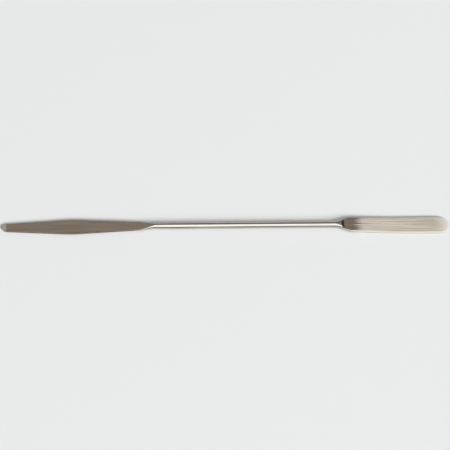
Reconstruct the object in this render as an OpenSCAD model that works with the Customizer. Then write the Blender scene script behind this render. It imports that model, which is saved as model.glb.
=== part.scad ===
// Double-ended lab spatula, forged and ground from one round steel rod.
// It lies along X, with the tapered blade at -X and the round-ended blade at +X.
// The origin is the middle of its footprint on the bench, and +Z points up.
// Each blade is forged level with the middle of the shank and set down. The outer part
// of the round-ended one lies flat on the bench, and the chisel end is just above it.

/* [Shank] */
// Overall length, from the chisel edge to the round end
overall_l = 210; // [180:1:260]
// Diameter of the round shank
shank_d = 3; // [2.4:0.1:3.8]

/* [Round-ended blade] */
// Length from the end of the shank to the round end
round_l = 54; // [45:1:75]
// Width just beyond the flare
round_root_w = 7.1; // [5.5:0.1:9]
// Width at the round end
round_end_w = 9; // [6.5:0.1:11]
// Thickness at the foot of the shoulder
round_root_t = 1.4; // [1.1:0.05:2]
// Thickness towards the round end, before it is thinned
round_end_t = 1.2; // [0.9:0.05:1.5]
// Thickness at the round end
round_tip_t = 0.5; // [0.4:0.05:0.9]
// Length over which the round end is thinned
thinned_l = 9; // [4:0.5:16]
// How far the rolled edge reaches in from the outline at the foot of the shoulder
round_root_edge = 0.4; // [0.3:0.05:1]
// How far it reaches in where the belt has rounded it
round_end_edge = 1; // [0.5:0.05:1.5]
// Distance from the end of the shank to where it reaches furthest
belted_from = 16; // [10:1:24]
// Length of the round end, along the blade
nose_l = 5.2; // [3.5:0.1:8]
// Squareness of the round end, where 2 is an ellipse
nose_power = 2.3; // [2:0.05:3]

/* [Flare and shoulder] */
// Length of the flare along the front edge
front_flare_l = 8.5; // [5:0.5:12]
// Length of the flare along the back edge
back_flare_l = 8; // [5:0.5:12]
// Length of the crown, where the flare keeps the full height of the shank
crown_l = 3.4; // [2:0.1:7]
// How far the rolled edge reaches in at the far end of the crown
crown_edge = 1.2; // [0.8:0.05:1.4]
// Length of the shoulder, which steps down to the blade
shoulder_l = 1.4; // [0.6:0.1:3]
// Length over which the blade comes down to the bench
round_set_l = 30; // [15:1:32]

/* [Tapered blade] */
// Length from the end of the shank to the chisel edge
taper_l = 76; // [65:1:90]
// Distance from the chisel edge to the widest place
widest_from_tip = 33.5; // [20:0.5:36]
// Width at the widest place, where the two straight tapers meet
widest_w = 7.7; // [5.5:0.1:9]
// Width of the neck, between the shank and the taper
neck_w = 4.3; // [3.9:0.1:5.2]
// Width of the chisel end
chisel_w = 3.8; // [2.8:0.1:5.4]
// Thickness at the neck
taper_root_t = 0.8; // [0.7:0.05:2]
// Thickness where the chisel bevel starts
taper_tip_t = 0.7; // [0.4:0.05:1.2]
// How far the eased edge reaches in from the outline
taper_edge = 0.1; // [0.05:0.05:0.5]
// Height of the underside above the bench at the chisel edge
taper_lift = 0.5; // [0:0.05:1]

/* [Ramp and chisel] */
// Distance from the end of the shank to the start of the flattening ramp
ramp_start = 3.5; // [1:0.1:6]
// Length of the flattening ramp
ramp_l = 7.5; // [4:0.1:12]
// Distance from the end of the shank to the end of the neck
neck_l = 12; // [11:0.5:20]
// Length of the chisel bevel
bevel_l = 2.7; // [2.5:0.1:5]
// Thickness of the chisel edge
chisel_t = 0.2; // [0.15:0.05:0.5]
// Length of the front corner of the chisel end, along the blade
front_corner_l = 2.4; // [0.5:0.1:2.4]
// Width of the front corner
front_corner_w = 2; // [0.5:0.1:2.4]
// Squareness of the front corner, where 1 is a straight chamfer and 2 is an ellipse
front_corner_power = 1.3; // [1.1:0.05:2.5]
// Radius of the back corner of the chisel end
back_corner_r = 0.8; // [0.5:0.1:0.9]

/* [Hidden] */
$fn = 96;
steel = [0.68, 0.64, 0.58];

// The blades start inside the shank, a hair below its skin.
skin_gap = 0.01;
stub_l = 1;
core_d = shank_d - 2 * skin_gap;
// Half the width of the narrow flat that is left where a section is all but round
least_flat = 0.02;
round_section_edge = core_d / 2 - least_flat;
// Length over which a bend in an outline is eased
bend_ease = 1.5;
// Greatest shares of the chisel's width that its two corners take
front_corner_share = 0.6;
back_corner_share = 0.3;
// Steps round a rolled edge, along a neck, along a blade and round an end
edge_steps = 12;
neck_step = 0.35;
blade_step = 3;
end_steps = 12;
corner_steps = 6;

shoulder_foot = crown_l + shoulder_l;
nose_start = round_l - nose_l;
widest_at = taper_l - widest_from_tip;
bevel_start = taper_l - bevel_l;
front_w = min(front_corner_w, front_corner_share * chisel_w);
back_r = min(back_corner_r, back_corner_share * chisel_w);

function mix(a, b, t) = a + (b - a) * t;
function share(t) = min(max(t, 0), 1);
// Rises from 0 to 1, level at both ends
function ease(t) = let (u = share(t)) u * u * (3 - 2 * u);
// Rises from 0 to 1, level at the far end only
function settle(t) = let (u = share(t)) 1 - (1 - u) * (1 - u);
// Nothing up to 0, and a straight line of slope 1 beyond it, with the bend eased
function turn_up(x) = (x + sqrt(x * x + bend_ease * bend_ease)) / 2;
function reverse(list) = [for (i = [len(list) - 1:-1:0]) list[i]];
function unit(v) = v / norm(v);

// Both blades are drawn outwards along +X from the end of the shank at x = 0.
// A side is a list of [x, half width]. An outline goes out along the front side,
// over the tip and back along the back side.
function outline(front, back, tip) = concat([for (p = front) [p.x, -p.y]], [tip], reverse(back));

// Point at the turn given, in degrees, round a quarter of |x/along|^power + |y/across|^power = 1
function quarter(along, across, power, turn) =
    [along * pow(sin(turn), 2 / power), across * pow(cos(turn), 2 / power)];

// Unit direction from point i of an outline into the blade, square to the outline
function inward(points, i) =
    let (last = len(points) - 1)
    i == 0 ? [0, 1] : i == last ? [0, -1] :
    let (along = unit(points[i + 1] - points[i - 1])) [-along.y, along.x];

// A blade with half an ellipse rolled round its edge, as high as the blade is thick.
// underside, thickness and edge are functions of x: the height of the underside,
// the thickness above it and the reach of the rolled edge.
module rolled_blade(points, underside, thickness, edge) {
    n = len(points);
    tip = (n - 1) / 2;
    top = edge_steps * n;
    skin = [
        for (j = [0:edge_steps])
            let (turn = -90 + 180 * j / edge_steps)
            for (i = [0:n - 1])
                let (p = points[i] + inward(points, i) * edge(points[i].x) * (1 - cos(turn)))
                [p.x, p.y, underside(p.x) + thickness(p.x) * (1 + sin(turn)) / 2]
    ];
    wall = [
        for (j = [0:edge_steps - 1], i = [0:n - 2])
            [j * n + i, (j + 1) * n + i, (j + 1) * n + i + 1, j * n + i + 1]
    ];
    // Strips across the two faces, and a triangle at the tip of each
    upper = [for (i = [0:tip - 2]) [i, n - 1 - i, n - 2 - i, i + 1]];
    faces = concat(upper, [[tip - 1, tip + 1, tip]]);
    shank_end = concat(
        [for (j = [0:edge_steps]) j * n + n - 1],
        [for (j = [edge_steps:-1:0]) j * n]);
    polyhedron(skin, concat(
        wall,
        [for (f = faces) [for (i = f) top + i]],
        [for (f = faces) reverse(f)],
        [shank_end]));
}

// Places along a blade: the stub in the shank, short steps on the neck, longer ones beyond
function places(neck_end, blade_end) = concat(
    [-stub_l, 0],
    [for (i = [1:round(neck_end / neck_step)]) i * neck_end / round(neck_end / neck_step)],
    let (steps = ceil((blade_end - neck_end) / blade_step))
    [for (i = [1:steps]) mix(neck_end, blade_end, i / steps)]);

// Height of the underside: level with the shank's middle, then set down to a lift
function set_down(x, thickness, lift, from, to) =
    mix((shank_d - thickness) / 2, lift, ease((x - from) / (to - from)));

// Round-ended blade

function round_half_w(x, flare_l) =
    mix(core_d, mix(round_root_w, round_end_w, settle(x / nose_start)), ease(x / flare_l)) / 2;

function round_side(flare_l) =
    let (nose_half_w = round_half_w(nose_start, flare_l))
    concat(
        [for (x = places(max(front_flare_l, back_flare_l), nose_start)) [x, round_half_w(x, flare_l)]],
        [for (i = [1:end_steps - 1])
            [nose_start, 0] + quarter(nose_l, nose_half_w, nose_power, 90 * i / end_steps)]);

function round_thickness(x) =
    let (along = (x - shoulder_foot) / (nose_start - shoulder_foot))
    let (thinned = (round_end_t - round_tip_t) * pow(share(1 - (round_l - x) / thinned_l), 2))
    mix(core_d, mix(round_root_t, round_end_t, settle(along)) - thinned, ease((x - crown_l) / shoulder_l));

function round_edge(x) =
    let (crown = mix(round_section_edge, crown_edge, ease(x / crown_l)))
    let (along = (x - shoulder_foot) / (belted_from - shoulder_foot))
    mix(crown, mix(round_root_edge, round_end_edge, ease(along)), ease((x - crown_l) / shoulder_l));

module round_blade() {
    rolled_blade(
        outline(round_side(front_flare_l), round_side(back_flare_l), [round_l, 0]),
        function(x) set_down(x, round_thickness(x), 0, shoulder_foot, round_set_l),
        function(x) round_thickness(x),
        function(x) round_edge(x));
}

// Tapered blade

function taper_half_w(x) =
    let (rise = (widest_w - neck_w) / (widest_at - neck_l))
    let (fall = (widest_w - chisel_w) / widest_from_tip)
    let (blade_w = neck_w + rise * turn_up(x - neck_l) - (rise + fall) * turn_up(x - widest_at))
    mix(core_d, blade_w, ease((x - ramp_start) / (neck_l - ramp_start))) / 2;

function taper_side(corner_l, corner_w, corner_power) = concat(
    [for (x = places(neck_l, widest_at - 2 * blade_step)) [x, taper_half_w(x)]],
    [for (i = [-5:6]) let (x = widest_at + i * blade_step / 3) [x, taper_half_w(x)]],
    let (from = widest_at + 2 * blade_step, steps = ceil((bevel_start - from) / blade_step))
    [for (i = [1:steps]) let (x = mix(from, bevel_start, i / steps)) [x, taper_half_w(x)]],
    [for (i = [0:corner_steps])
        let (q = quarter(corner_l, corner_w, corner_power, 90 * i / corner_steps))
        let (x = taper_l - corner_l + q.x)
        [x, taper_half_w(x) - corner_w + q.y]]);

function taper_thickness(x) = min(
    mix(core_d, mix(taper_root_t, taper_tip_t, x / bevel_start), ease((x - ramp_start) / ramp_l)),
    mix(chisel_t, taper_tip_t, (taper_l - x) / bevel_l));

module taper_blade() {
    rolled_blade(
        outline(
            taper_side(front_corner_l, front_w, front_corner_power),
            taper_side(back_r, back_r, 2),
            [taper_l, (front_w - back_r) / 2]),
        function(x) set_down(x, taper_thickness(x), taper_lift, ramp_start, taper_l),
        function(x) taper_thickness(x),
        function(x) mix(round_section_edge, taper_edge, ease((x - ramp_start) / ramp_l)));
}

module shank(from_x, to_x) {
    translate([from_x, 0, shank_d / 2])
        rotate([0, 90, 0])
            cylinder(h = to_x - from_x, d = shank_d);
}

module spatula() {
    shank_start = taper_l - overall_l / 2;
    shank_end = overall_l / 2 - round_l;
    color(steel) {
        shank(shank_start, shank_end);
        translate([shank_end, 0, 0]) round_blade();
        translate([shank_start, 0, 0]) mirror([1, 0, 0]) taper_blade();
    }
}

spatula();
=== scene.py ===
"""A double-ended steel lab spatula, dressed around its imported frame."""

import math

import bmesh
import bpy
import numpy as np
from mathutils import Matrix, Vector


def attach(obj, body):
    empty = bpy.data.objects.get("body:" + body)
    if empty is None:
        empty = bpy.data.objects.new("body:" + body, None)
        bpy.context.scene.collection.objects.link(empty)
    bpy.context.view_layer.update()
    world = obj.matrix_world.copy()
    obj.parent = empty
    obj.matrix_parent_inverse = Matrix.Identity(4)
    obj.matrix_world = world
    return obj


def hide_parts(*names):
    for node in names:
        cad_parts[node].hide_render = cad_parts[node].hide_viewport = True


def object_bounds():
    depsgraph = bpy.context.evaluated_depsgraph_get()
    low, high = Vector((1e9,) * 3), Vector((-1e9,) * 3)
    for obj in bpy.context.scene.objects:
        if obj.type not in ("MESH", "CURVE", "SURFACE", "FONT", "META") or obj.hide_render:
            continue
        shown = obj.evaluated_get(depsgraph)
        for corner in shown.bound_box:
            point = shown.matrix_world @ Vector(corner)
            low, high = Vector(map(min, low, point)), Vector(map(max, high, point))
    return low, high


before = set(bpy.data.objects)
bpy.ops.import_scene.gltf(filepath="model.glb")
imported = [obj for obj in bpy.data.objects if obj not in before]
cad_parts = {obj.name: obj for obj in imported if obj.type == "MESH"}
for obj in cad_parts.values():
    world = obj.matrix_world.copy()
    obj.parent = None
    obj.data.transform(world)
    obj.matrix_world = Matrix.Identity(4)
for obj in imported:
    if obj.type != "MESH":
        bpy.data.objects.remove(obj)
cad_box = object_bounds()

MM = 0.001

# Sizes of the spatula in millimetres, the same as the solid's. Its length comes from the frame.
OVERALL_L = (cad_box[1].x - cad_box[0].x) / MM
SHANK_D = 3.0
ROUND_L = 54.0
ROUND_ROOT_W = 7.1
ROUND_END_W = 9.0
ROUND_ROOT_T = 1.4
ROUND_END_T = 1.2
ROUND_TIP_T = 0.5
THINNED_L = 9.0
ROUND_ROOT_EDGE = 0.4
ROUND_END_EDGE = 1.0
BELTED_FROM = 16.0
CROWN_EDGE = 1.2
NOSE_L = 5.2
NOSE_POWER = 2.3
FRONT_FLARE_L = 8.5
BACK_FLARE_L = 8.0
CROWN_L = 3.4
SHOULDER_L = 1.4
ROUND_SET_L = 30.0
TAPER_L = 76.0
WIDEST_FROM_TIP = 33.5
WIDEST_W = 7.7
NECK_W = 4.3
CHISEL_W = 3.8
TAPER_ROOT_T = 0.8
TAPER_TIP_T = 0.7
TAPER_EDGE = 0.1
TAPER_LIFT = 0.5
RAMP_START = 3.5
RAMP_L = 7.5
NECK_L = 12.0
BEVEL_L = 2.7
CHISEL_T = 0.2
FRONT_CORNER_L = 2.4
FRONT_CORNER_W = 2.0
FRONT_CORNER_POWER = 1.3
BACK_CORNER_R = 0.8
BEND_EASE = 1.5

# How finely the skin is divided: the millimetres between points along each stretch, with a
# margin beyond the ramp for the neck's. Then the steps along half the chisel's edge, down the
# bevel, round the chisel's corners, round the round end and over the rolled edge.
TAPER_STEP = 0.4
NECK_STEP = 0.15
NECK_MARGIN = 2.0
SHANK_STEP = 1.0
SHOULDER_STEP = 0.06
ROUND_STEP = 0.5
CHISEL_STEPS = 4
BEVEL_STEPS = 5
CORNER_STEPS = 14
NOSE_STEPS = 48
EDGE_STEPS = 32

# The narrow lip of a face in millimetres, and the most that it takes of the face's half width.
FACE_LIP = 0.08
LIP_SHARE = 1 / 3
# Points of the skin that lie closer together than this are made one. In millimetres.
MERGE_DIST = 0.0005
# The attribute that tells the material how level the skin is.
FLATNESS = "flatness"

# Places along each blade, from its end of the shank, and the two ends of the shank on X.
SHOULDER_FOOT = CROWN_L + SHOULDER_L
NOSE_START = ROUND_L - NOSE_L
WIDEST_AT = TAPER_L - WIDEST_FROM_TIP
BEVEL_START = TAPER_L - BEVEL_L
SHANK_START = TAPER_L - OVERALL_L / 2
SHANK_END = OVERALL_L / 2 - ROUND_L


# --- The shape of the forging ---------------------------------------------------------

def mix(a, b, t):
    """a where t is 0, b where t is 1, and a straight line between."""
    return a + (b - a) * t


def ease(t):
    """Rises from 0 to 1 as 3t² - 2t³, level at both ends."""
    t = np.clip(t, 0, 1)
    return t * t * (3 - 2 * t)


def settle(t):
    """Rises from 0 to 1 as 1 - (1 - t)², level at the far end only."""
    return 1 - (1 - np.clip(t, 0, 1)) ** 2


def turn_up(x):
    """Nothing up to 0 and a straight line of slope 1 beyond it, joined by a hyperbola."""
    return (x + np.hypot(x, BEND_EASE)) / 2


def blade_places(x):
    """The distance outwards from each end of the shank, for places x along the spatula."""
    return SHANK_START - x, x - SHANK_END


def taper_thickness(t):
    """From the shank's height down a ramp to the blade's, then down the chisel bevel."""
    blade = mix(TAPER_ROOT_T, TAPER_TIP_T, t / BEVEL_START)
    ramped = mix(SHANK_D, blade, ease((t - RAMP_START) / RAMP_L))
    return np.minimum(ramped, mix(CHISEL_T, TAPER_TIP_T, (TAPER_L - t) / BEVEL_L))


def round_thickness(r):
    """The shank's height along the crown, a step down the shoulder, then the blade's, which
    thins faster and faster towards the tip."""
    along = (r - SHOULDER_FOOT) / (NOSE_START - SHOULDER_FOOT)
    thinned = np.clip(1 - (ROUND_L - r) / THINNED_L, 0, 1) ** 2 * (ROUND_END_T - ROUND_TIP_T)
    blade = mix(ROUND_ROOT_T, ROUND_END_T, settle(along)) - thinned
    return mix(SHANK_D, blade, ease((r - CROWN_L) / SHOULDER_L))


def thickness(x):
    """The height of the forging at x: each end's own, and the shank's between them."""
    t, r = blade_places(x)
    return np.where(t > 0, taper_thickness(t), np.where(r > 0, round_thickness(r), SHANK_D))


def underside(x):
    """The underside: half the missing height at a neck. Further out it comes down, on the
    round blade to the bench, and on the tapered one to a small lift above it."""
    t, r = blade_places(x)
    level = (SHANK_D - thickness(x)) / 2
    taper = mix(level, TAPER_LIFT, ease((t - RAMP_START) / (TAPER_L - RAMP_START)))
    round_end = mix(level, 0, ease((r - SHOULDER_FOOT) / (ROUND_SET_L - SHOULDER_FOOT)))
    return np.where(t > 0, taper, round_end)


def edge_reach(x):
    """How far the rolled edge reaches in: the shank's radius, easing to each blade's own,
    on the round blade by way of the crown's."""
    t, r = blade_places(x)
    taper = mix(SHANK_D / 2, TAPER_EDGE, ease((t - RAMP_START) / RAMP_L))
    crown = mix(SHANK_D / 2, CROWN_EDGE, ease(r / CROWN_L))
    beyond_foot = (r - SHOULDER_FOOT) / (BELTED_FROM - SHOULDER_FOOT)
    belted = mix(ROUND_ROOT_EDGE, ROUND_END_EDGE, ease(beyond_foot))
    round_end = mix(crown, belted, ease((r - CROWN_L) / SHOULDER_L))
    return np.where(t > 0, taper, round_end)


def half_width(x, flare_l):
    """Half the width at x, for a flare of the length given at the round-ended blade."""
    t, r = blade_places(x)
    rise = (WIDEST_W - NECK_W) / (WIDEST_AT - NECK_L)
    fall = (WIDEST_W - CHISEL_W) / WIDEST_FROM_TIP
    taper = NECK_W + rise * turn_up(t - NECK_L) - (rise + fall) * turn_up(t - WIDEST_AT)
    taper = mix(SHANK_D, taper, ease((t - RAMP_START) / (NECK_L - RAMP_START)))
    round_end = mix(ROUND_ROOT_W, ROUND_END_W, settle(r / NOSE_START))
    round_end = mix(SHANK_D, round_end, ease(r / flare_l))
    return np.where(t > 0, taper, np.where(r > 0, round_end, SHANK_D)) / 2


def spaced(start, stop, step):
    """Places from start up to, and not with, stop, at about the step given."""
    return np.linspace(start, stop, max(2, round(abs(stop - start) / step)), endpoint=False)


def quarter(along, across, power, steps):
    """A quarter of |x/along|^power + |y/across|^power = 1, from (0, across) to (along, 0)."""
    turn = np.radians(np.linspace(0, 90, steps + 1))
    x = along * np.sin(turn) ** (2 / power)
    y = across * np.maximum(np.cos(turn), 0) ** (2 / power)
    return x, y


def side_outline(flare_l, corner, edge_from):
    """One side of the plan view, from y = edge_from on the chisel edge to the round tip.

    corner is the length, width and power of the chisel's corner. The straight and flared
    stretches follow half_width, and the corner and the round end are quarters."""
    corner_l, corner_w, power = corner
    corner_t, corner_y = (part[::-1] for part in quarter(corner_l, corner_w, power, CORNER_STEPS))
    nose_half_w = half_width(np.array(SHANK_END + NOSE_START), flare_l)
    nose_x, nose_y = quarter(NOSE_L, nose_half_w, NOSE_POWER, NOSE_STEPS)
    flare_end = max(FRONT_FLARE_L, BACK_FLARE_L)
    neck_end = RAMP_START + RAMP_L + NECK_MARGIN
    edge_y = np.linspace(edge_from, CHISEL_W / 2 - corner_w, CHISEL_STEPS, endpoint=False)
    bevel_t = np.linspace(TAPER_L - corner_l, BEVEL_START, BEVEL_STEPS + 1)[1:-1]
    x = np.concatenate([
        np.full(len(edge_y), -OVERALL_L / 2),
        SHANK_START - TAPER_L + corner_l - corner_t,
        SHANK_START - bevel_t,
        SHANK_START - spaced(BEVEL_START, neck_end, TAPER_STEP),
        SHANK_START - spaced(neck_end, 0, NECK_STEP),
        spaced(SHANK_START, SHANK_END, SHANK_STEP),
        SHANK_END + spaced(0, flare_end, SHOULDER_STEP),
        SHANK_END + spaced(flare_end, NOSE_START, ROUND_STEP),
    ])
    y = half_width(x, flare_l)
    y[: len(edge_y)] = edge_y
    y[len(edge_y) : len(edge_y) + len(corner_y)] += corner_y - corner_w
    return np.concatenate([x, SHANK_END + NOSE_START + nose_x]), np.concatenate([y, nose_y])


def inward_normals(x, y):
    """Unit vectors square to a closed outline that runs anticlockwise, pointing into it."""
    ahead = np.stack([np.roll(x, -1) - x, np.roll(y, -1) - y])
    behind = np.stack([x - np.roll(x, 1), y - np.roll(y, 1)])
    along = ahead / np.hypot(*ahead) + behind / np.hypot(*behind)
    along /= np.hypot(*along)
    return -along[1], along[0]


def forging(name):
    """The whole spatula as one closed skin.

    Half an ellipse, as high as the forging is thick there, is rolled round the outline.
    Point (u, v) is outline(u) + inward(u) * reach * (1 - cos v), at the height
    underside + thickness * (1 + sin v) / 2, for v from -90 to 90 degrees. A narrow lip
    further in keeps each face flat right up to its rolled edge, and strips across the two
    faces close them. The flatness attribute is |sin v|: 0 where the skin stands upright at
    the outline, and 1 on the faces."""
    edge_from = (FRONT_CORNER_W - BACK_CORNER_R) / 2
    front_corner = FRONT_CORNER_L, FRONT_CORNER_W, FRONT_CORNER_POWER
    front_x, front_y = side_outline(FRONT_FLARE_L, front_corner, -edge_from)
    back_x, back_y = side_outline(BACK_FLARE_L, (BACK_CORNER_R, BACK_CORNER_R, 2), edge_from)
    x = np.concatenate([front_x, back_x[-2:0:-1]])
    y = np.concatenate([-front_y, back_y[-2:0:-1]])
    in_x, in_y = inward_normals(x, y)
    count, tip = len(x), len(front_x) - 1

    v = np.concatenate([[-90], np.linspace(-90, 90, EDGE_STEPS + 1), [90]])
    v = np.radians(v)[:, None]
    reach = edge_reach(x)
    inset = reach * (1 - np.cos(v))
    inset[[0, -1]] += np.clip((np.abs(y) - reach) * LIP_SHARE, 0, FACE_LIP)
    px, py = x + in_x * inset, y + in_y * inset
    pz = underside(px) + thickness(px) * (1 + np.sin(v)) / 2
    points = np.stack([px, py, pz], axis=-1).reshape(-1, 3) * MM

    ring = np.arange(count)
    after = np.roll(ring, -1)
    below = (np.arange(len(v) - 1) * count)[:, None]
    above = below + count
    walls = np.stack([below + ring, below + after, above + after, above + ring], axis=-1)
    front = np.arange(1, tip - 1)
    strips = np.stack([front, front + 1, count - front - 1, count - front], axis=-1)
    ends = np.array([[0, 1, count - 1], [tip - 1, tip, tip + 1]])
    top = (len(v) - 1) * count
    faces = [*walls.reshape(-1, 4).tolist(), *(strips + top).tolist(), *(ends + top).tolist()]
    faces += [*strips[:, ::-1].tolist(), *ends[:, ::-1].tolist()]

    mesh = bpy.data.meshes.new(name)
    mesh.from_pydata(points.tolist(), [], faces)
    flatness = mesh.attributes.new(FLATNESS, "FLOAT", "POINT")
    flatness.data.foreach_set("value", np.repeat(np.abs(np.sin(v[:, 0])), count))
    skin = bmesh.new()
    skin.from_mesh(mesh)
    bmesh.ops.remove_doubles(skin, verts=skin.verts, dist=MERGE_DIST * MM)
    skin.to_mesh(mesh)
    skin.free()
    mesh.polygons.foreach_set("use_smooth", np.ones(len(mesh.polygons), dtype=bool))
    mesh.update()
    piece = bpy.data.objects.new(name, mesh)
    bpy.context.scene.collection.objects.link(piece)
    return piece


# --- Materials ------------------------------------------------------------------------

def linear(hex_colour):
    """An sRGB hex colour, such as "d3c6b9", as linear red, green, blue and full alpha."""
    srgb = np.array([int(hex_colour[i : i + 2], 16) for i in (0, 2, 4)]) / 255
    shade = np.where(srgb <= 0.04045, srgb / 12.92, ((srgb + 0.055) / 1.055) ** 2.4)
    return (*shade.tolist(), 1.0)


def add(tree, kind, settings=None, **links):
    """Adds a node of the kind given. settings sets its properties, and its inputs by name or
    number. links joins inputs to other nodes' outputs or sets them: _0 is input number 0."""
    made = tree.nodes.new(kind)
    for key, value in (settings or {}).items():
        if isinstance(key, str) and hasattr(made, key):
            setattr(made, key, value)
        else:
            made.inputs[key].default_value = value
    for key, value in links.items():
        if key.startswith("_"):
            socket = made.inputs[int(key[1:])]
        else:
            socket = next(i for i in made.inputs if i.enabled and i.name == key.replace("_", " "))
        if isinstance(value, bpy.types.NodeSocket):
            tree.links.new(value, socket)
        else:
            socket.default_value = value
    return made


def mixed_colour(node):
    """The colour that a Mix node of the colour kind puts out."""
    return next(out for out in node.outputs if out.type == "RGBA")


# The belt finish, in millimetres: where it starts beyond the foot of the shoulder, how long it
# takes to come on, how far its start wanders from streak to streak, and how much sooner it
# starts on the rolled edge than on the face.
BELT_START = 7.0
BELT_FADE = 5.8
BELT_WANDER = 10.0
RIM_LEAD = 7.0

# A streak's length, width and height in millimetres, the place in the noise that the streaks
# are taken from, the range of the noise that they use, and the depth of the scratches.
STREAK_SIZE = (25.0, 0.714, 3.33)
STREAK_PLACE = (23.1, 53.9, 0.0)
STREAK_RANGE = 0.3, 0.7
SCRATCH_DEPTH = 0.06

# How far from its end the round tip starts to be painted paler, a painted highlight on the end that
# faces the light, and over what length it does so. The tapered blade's edge is painted dark,
# painted shade, between the two distances from the shank.
PAINTED_TIP_LIGHT_FROM = 7.5
PAINTED_TIP_LIGHT_FADE = 8.0
PAINTED_SHADE_EDGE_FROM = 9.0
PAINTED_SHADE_EDGE_TO = 15.0

# The flatness at which one tone across the surface starts to give way to the next, and at
# which it has done so. The last pair is for the gloss.
# The first pair paints the rolled rim paler than its upright side: a painted highlight on the rim,
# painted shade on the side.
SIDE_TO_RIM = 0.1, 0.6
RIM_TO_FACE = 0.90, 0.99
# The third pair paints the tapered blade's thin edge dark: painted shade.
FACE_TO_PAINTED_SHADE_EDGE = 0.98, 0.75
RIM_GLOSS_TO_FACE = 0.5, 0.95

POLISHED_ROUGHNESS = 0.10
RIM_ROUGHNESS = 0.45
FACE_ROUGHNESS = 0.56
POLISHED_METAL = 1.0
GROUND_METAL = 0.50


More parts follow.
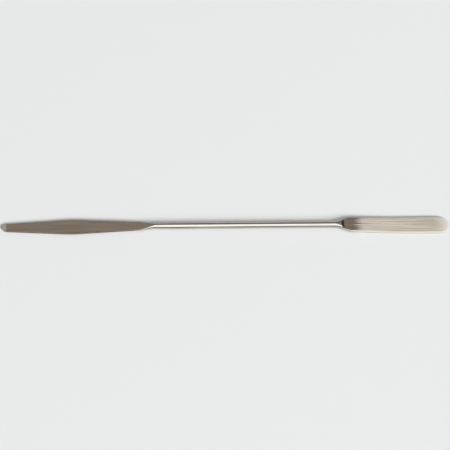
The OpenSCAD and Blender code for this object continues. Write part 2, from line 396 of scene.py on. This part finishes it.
def polished_and_belt_ground_steel_with_painted_light():
    """Stainless steel, polished all over, then belt-ground lengthwise on the round blade.

    Polished steel mirrors the room in a warm grey. The belt's lengthwise scratches scatter
    light every way, so the ground face is half matt and pale. Its rolled rim is painted paler
    still, a painted highlight, over an upright side painted darker, painted shade, and near the
    round end the face and rim are painted paler, a painted highlight. The thin edge of the
    tapered blade is painted dark, painted shade. A belt scratch is about 0.05 mm wide, too fine
    to show, so the streaks are drawn 0.4 to 1 mm wide."""
    steel = bpy.data.materials.new("polished_and_belt_ground_steel_with_painted_light")
    steel.use_nodes = True
    tree = steel.node_tree
    shader = tree.nodes["Principled BSDF"]

    metres = add(tree, "ShaderNodeTexCoord").outputs["Object"]
    place = add(tree, "ShaderNodeVectorMath", {"operation": "SCALE", "Scale": 1 / MM},
                Vector=metres).outputs[0]
    along = add(tree, "ShaderNodeSeparateXYZ", Vector=place).outputs["X"]
    flatness = add(tree, "ShaderNodeAttribute", {"attribute_name": FLATNESS}).outputs["Fac"]
    streak_grid = add(tree, "ShaderNodeMapping",
                      {"Scale": [1 / size for size in STREAK_SIZE], "Location": STREAK_PLACE},
                      Vector=place)
    streaks = add(tree, "ShaderNodeTexNoise", {"Scale": 1.0, "Detail": 3.0, "Roughness": 0.6},
                  Vector=streak_grid.outputs[0]).outputs["Fac"]
    contrast = add(tree, "ShaderNodeMapRange",
                   {"From Min": STREAK_RANGE[0], "From Max": STREAK_RANGE[1]},
                   Value=streaks).outputs[0]

    # The fade is half done at BELT_START where the flatness is 1 and the noise at its mean, 0.5.
    wandered = add(tree, "ShaderNodeMath", {"operation": "MULTIPLY_ADD", 1: BELT_WANDER},
                   _0=streaks, _2=along)
    belt_place = add(tree, "ShaderNodeMath", {"operation": "MULTIPLY_ADD", 1: -RIM_LEAD},
                     _0=flatness, _2=wandered.outputs[0])
    belt_from = SHANK_END + SHOULDER_FOOT + BELT_START - BELT_FADE / 2 + BELT_WANDER / 2 - RIM_LEAD
    painted_tip_light_from = OVERALL_L / 2 - PAINTED_TIP_LIGHT_FROM

    # Each share goes smoothly from 0 to 1 as its measure goes from the first value to the second.
    share = {}
    for name, measure, start, stop in (
        ("ground", belt_place.outputs[0], belt_from, belt_from + BELT_FADE),
        # The tip share paints a highlight on the round end.
        ("tip", along, painted_tip_light_from, painted_tip_light_from + PAINTED_TIP_LIGHT_FADE),
        # The rim and face shares paint a highlight on the ground blade's rim and shade on the
        # upright side below it.
        ("rim", flatness, *SIDE_TO_RIM),
        ("face", flatness, *RIM_TO_FACE),
        # The taper and edge shares paint shade along the tapered blade's thin edge.
        ("taper", along, SHANK_START - PAINTED_SHADE_EDGE_FROM, SHANK_START - PAINTED_SHADE_EDGE_TO),
        ("edge", flatness, *FACE_TO_PAINTED_SHADE_EDGE),
    ):
        step = add(tree, "ShaderNodeMapRange", {
            "interpolation_type": "SMOOTHSTEP", "From Min": start, "From Max": stop,
        }, Value=measure)
        share[name] = step.outputs[0]

    polished_tone = add(tree, "ShaderNodeMix", {"data_type": "RGBA"},
                        Factor=contrast, A=linear("bcb6af"), B=linear("d9d3cc"))
    ground_tone = add(tree, "ShaderNodeMix", {"data_type": "RGBA"},
                      Factor=contrast, A=linear("bcb2a6"), B=linear("f4eade"))
    # Painted highlight: towards the round end the face and the rim are painted paler.
    face_tone_and_painted_tip_light = add(tree, "ShaderNodeMix", {"data_type": "RGBA"},
                    Factor=share["tip"], A=mixed_colour(ground_tone), B=linear("faf2ec"))
    # Painted highlight on the ground blade's rolled rim, which is paler than its face, and painted
    # shade on the upright side below it, aca69c.
    rim_painted_highlight_tone = add(tree, "ShaderNodeMix", {"data_type": "RGBA"},
                   Factor=share["tip"], A=linear("e2dcd2"), B=linear("fffbf4"))
    side_painted_shade_tone = add(tree, "ShaderNodeMix", {"data_type": "RGBA"},
                    Factor=share["rim"], A=linear("aca69c"), B=mixed_colour(rim_painted_highlight_tone))
    belted_tone_and_painted_rim = add(tree, "ShaderNodeMix", {"data_type": "RGBA"},
                      Factor=share["face"], A=mixed_colour(side_painted_shade_tone), B=mixed_colour(face_tone_and_painted_tip_light))
    tone = add(tree, "ShaderNodeMix", {"data_type": "RGBA"},
               Factor=share["ground"], A=mixed_colour(polished_tone), B=mixed_colour(belted_tone_and_painted_rim))
    # Painted shade: the tapered blade's thin edge is painted dark, 544e47.
    painted_shade_edge = add(tree, "ShaderNodeMath", {"operation": "MULTIPLY"},
                    _0=share["taper"], _1=share["edge"])
    tone = add(tree, "ShaderNodeMix", {"data_type": "RGBA"},
               Factor=painted_shade_edge.outputs[0], A=mixed_colour(tone), B=linear("544e47"))
    tree.links.new(mixed_colour(tone), shader.inputs["Base Color"])

    ground_roughness = add(tree, "ShaderNodeMapRange", {
        "From Min": RIM_GLOSS_TO_FACE[0], "From Max": RIM_GLOSS_TO_FACE[1],
        "To Min": RIM_ROUGHNESS, "To Max": FACE_ROUGHNESS,
    }, Value=flatness)
    roughness = add(tree, "ShaderNodeMix", {"A": POLISHED_ROUGHNESS},
                    Factor=share["ground"], B=ground_roughness.outputs[0])
    tree.links.new(roughness.outputs["Result"], shader.inputs["Roughness"])
    metal = add(tree, "ShaderNodeMix", {"A": POLISHED_METAL, "B": GROUND_METAL},
                Factor=share["ground"])
    tree.links.new(metal.outputs["Result"], shader.inputs["Metallic"])
    depth = add(tree, "ShaderNodeMath", {"operation": "MULTIPLY", 1: SCRATCH_DEPTH * MM},
                _0=share["ground"])
    relief = add(tree, "ShaderNodeBump", {"Strength": 1.0},
                 Height=streaks, Distance=depth.outputs[0])
    tree.links.new(relief.outputs[0], shader.inputs["Normal"])
    return steel


def paper():
    """Matt white paper: a plain pale surface that takes soft shadows."""
    sheet = bpy.data.materials.new("matt_paper")
    sheet.use_nodes = True
    shader = sheet.node_tree.nodes["Principled BSDF"]
    shader.inputs["Base Color"].default_value = linear("dee0e2")
    shader.inputs["Roughness"].default_value = 0.9
    shader.inputs["Specular IOR Level"].default_value = 0.0
    return sheet


# --- Stage, light and camera ----------------------------------------------------------

# The bench top's radius in metres, and the angle in degrees between the points of its rim.
BENCH_RADIUS = 3.0
BENCH_STEP = 5

# The room in layers, each laid over those before it: its name, its tone in linear light, and
# the steps whose product is how much of it there is. A step goes smoothly from 0 to 1 as a
# measure of the direction goes from the first value to the second. x, y and z are those of a
# unit vector. over is the angle in degrees up from the front horizon and on over to the back
# one, and slant is x less over times the slope of the soft box's left end.
SHADE_TONE = (0.080, 0.071, 0.062)
SOFT_BOX_SLOPE = math.radians(0.34)
ROOM = (
    ("ceiling", (0.328, 0.281, 0.236),
     (("over", 95, 100), ("over", 146, 128), ("x", -0.5, -0.4), ("x", 0.5, 0.0))),
    ("front wall", (0.205, 0.200, 0.194),
     (("y", -0.2, -0.5), ("over", 37, 31))),
    ("strip of wall", (0.70, 0.69, 0.67),
     (("z", 0.20, 0.12), ("y", -0.5, -0.2))),
    ("left wall", (0.78, 0.74, 0.68),
     (("x", -0.42, -0.50), ("z", 0.2, 0.5), ("y", 0.1, 0.3))),
    ("window", (0.70, 0.69, 0.67),
     (("x", 0.30, 0.50), ("z", 0.3, 0.5), ("y", -0.3, -0.1), ("y", 0.5, 0.3))),
    ("doorway", (0.045, 0.034, 0.022),
     (("x", 0.5, 0.65), ("y", 0.2, 0.32), ("z", 0.58, 0.42))),
    ("soft box", (1.62, 1.67, 1.64),
     (("over", 31, 37), ("over", 106, 100), ("slant", -0.734, -0.634), ("x", 0.28, 0.18))),
)

# The key lamp's side in metres and its power in watts, how far it stands round to the right
# of the front and up from the bench, and its distance in metres.
LAMP_SIZE = 4.87
LAMP_POWER = 1870.0
LAMP_ROUND = math.radians(40)
LAMP_UP = math.radians(31)
LAMP_AWAY = 12.0

# How steeply the camera looks down, its distance from the point that it looks at, and its
# lean. In the picture that point is a little above the shank's middle line. Distances are in
# metres, and the lens and its sensor in millimetres.
ELEVATION = math.radians(60)
DISTANCE = 0.585
LEAN = math.radians(-0.46)
AIM_ABOVE = 0.0003
LENS = 100.0
SENSOR_W = 36.0


def bench(radius):
    """A flat round bench top of the radius given, in metres, at the height the spatula rests on."""
    around = np.radians(np.arange(0, 360, BENCH_STEP))
    rim = radius * np.stack([np.cos(around), np.sin(around), np.zeros(len(around))], axis=-1)
    mesh = bpy.data.meshes.new("bench")
    mesh.from_pydata(rim.tolist(), [], [list(range(len(around)))])
    mesh.materials.append(paper())
    top = bpy.data.objects.new("bench", mesh)
    bpy.context.scene.collection.objects.link(top)


def room_light():
    """A dim room: a soft box overhead, a lit ceiling beyond it, a grey wall in front, a pale
    strip of wall at bench height behind, a lighter wall to the left, and a window and a dark
    doorway to the right. Polished steel shows mostly what it mirrors."""
    world = bpy.data.worlds.new("room")
    bpy.context.scene.world = world
    world.use_nodes = True
    tree = world.node_tree
    direction = add(tree, "ShaderNodeTexCoord").outputs["Generated"]
    x, y, z = add(tree, "ShaderNodeSeparateXYZ", Vector=direction).outputs
    front = add(tree, "ShaderNodeMath", {"operation": "MULTIPLY", 1: -1.0}, _0=y)
    turn = add(tree, "ShaderNodeMath", {"operation": "ARCTAN2"}, _0=z, _1=front.outputs[0])
    over = add(tree, "ShaderNodeMath", {"operation": "DEGREES"}, _0=turn.outputs[0]).outputs[0]
    slant = add(tree, "ShaderNodeMath", {"operation": "MULTIPLY_ADD", 1: -SOFT_BOX_SLOPE},
                _0=over, _2=x).outputs[0]
    measures = {"x": x, "y": y, "z": z, "over": over, "slant": slant}

    light = (*SHADE_TONE, 1.0)
    for name, tone, steps in ROOM:
        amount = 1.0
        for measure, start, stop in steps:
            step = add(tree, "ShaderNodeMapRange", {
                "interpolation_type": "SMOOTHSTEP", "From Min": start, "From Max": stop,
            }, Value=measures[measure])
            product = add(tree, "ShaderNodeMath", {"operation": "MULTIPLY"},
                          _0=amount, _1=step.outputs[0])
            amount = product.outputs[0]
        layer = add(tree, "ShaderNodeMix", {"data_type": "RGBA", "label": name},
                    Factor=amount, A=light, B=(*tone, 1.0))
        light = mixed_colour(layer)
    tree.links.new(light, tree.nodes["Background"].inputs["Color"])


def key_lamp():
    """A square soft lamp to the front right, which throws the shadow behind the spatula. The
    steel doesn't mirror it, because its image would show from behind as a white glare."""
    lamp_data = bpy.data.lights.new("key_lamp", "AREA")
    lamp_data.size = LAMP_SIZE
    lamp_data.energy = LAMP_POWER
    lamp = bpy.data.objects.new("key_lamp", lamp_data)
    bpy.context.scene.collection.objects.link(lamp)
    towards = Vector((
        math.sin(LAMP_ROUND) * math.cos(LAMP_UP),
        -math.cos(LAMP_ROUND) * math.cos(LAMP_UP),
        math.sin(LAMP_UP),
    ))
    lamp.location = towards * LAMP_AWAY
    lamp.rotation_euler = towards.to_track_quat("Z", "Y").to_euler()
    lamp.visible_glossy = False


def steep_camera():
    """A camera that looks down at the spatula from the front, and leans a little."""
    camera_data = bpy.data.cameras.new("camera")
    camera_data.lens = LENS
    camera_data.sensor_width = SENSOR_W
    camera = bpy.data.objects.new("camera", camera_data)
    bpy.context.scene.collection.objects.link(camera)
    bpy.context.scene.camera = camera
    camera.location = (
        0.0,
        AIM_ABOVE * math.sin(ELEVATION) - DISTANCE * math.cos(ELEVATION),
        SHANK_D / 2 * MM + AIM_ABOVE * math.cos(ELEVATION) + DISTANCE * math.sin(ELEVATION),
    )
    camera.rotation_mode = "ZXY"
    camera.rotation_euler = (math.pi / 2 - ELEVATION, 0.0, LEAN)


# --- The spatula on its bench ---------------------------------------------------------

spatula = forging("spatula_forging")
spatula.data.materials.append(polished_and_belt_ground_steel_with_painted_light())
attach(spatula, "root")
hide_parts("spatula")

bench(BENCH_RADIUS)
room_light()
key_lamp()
steep_camera()
bpy.context.scene.view_settings.view_transform = "Standard"
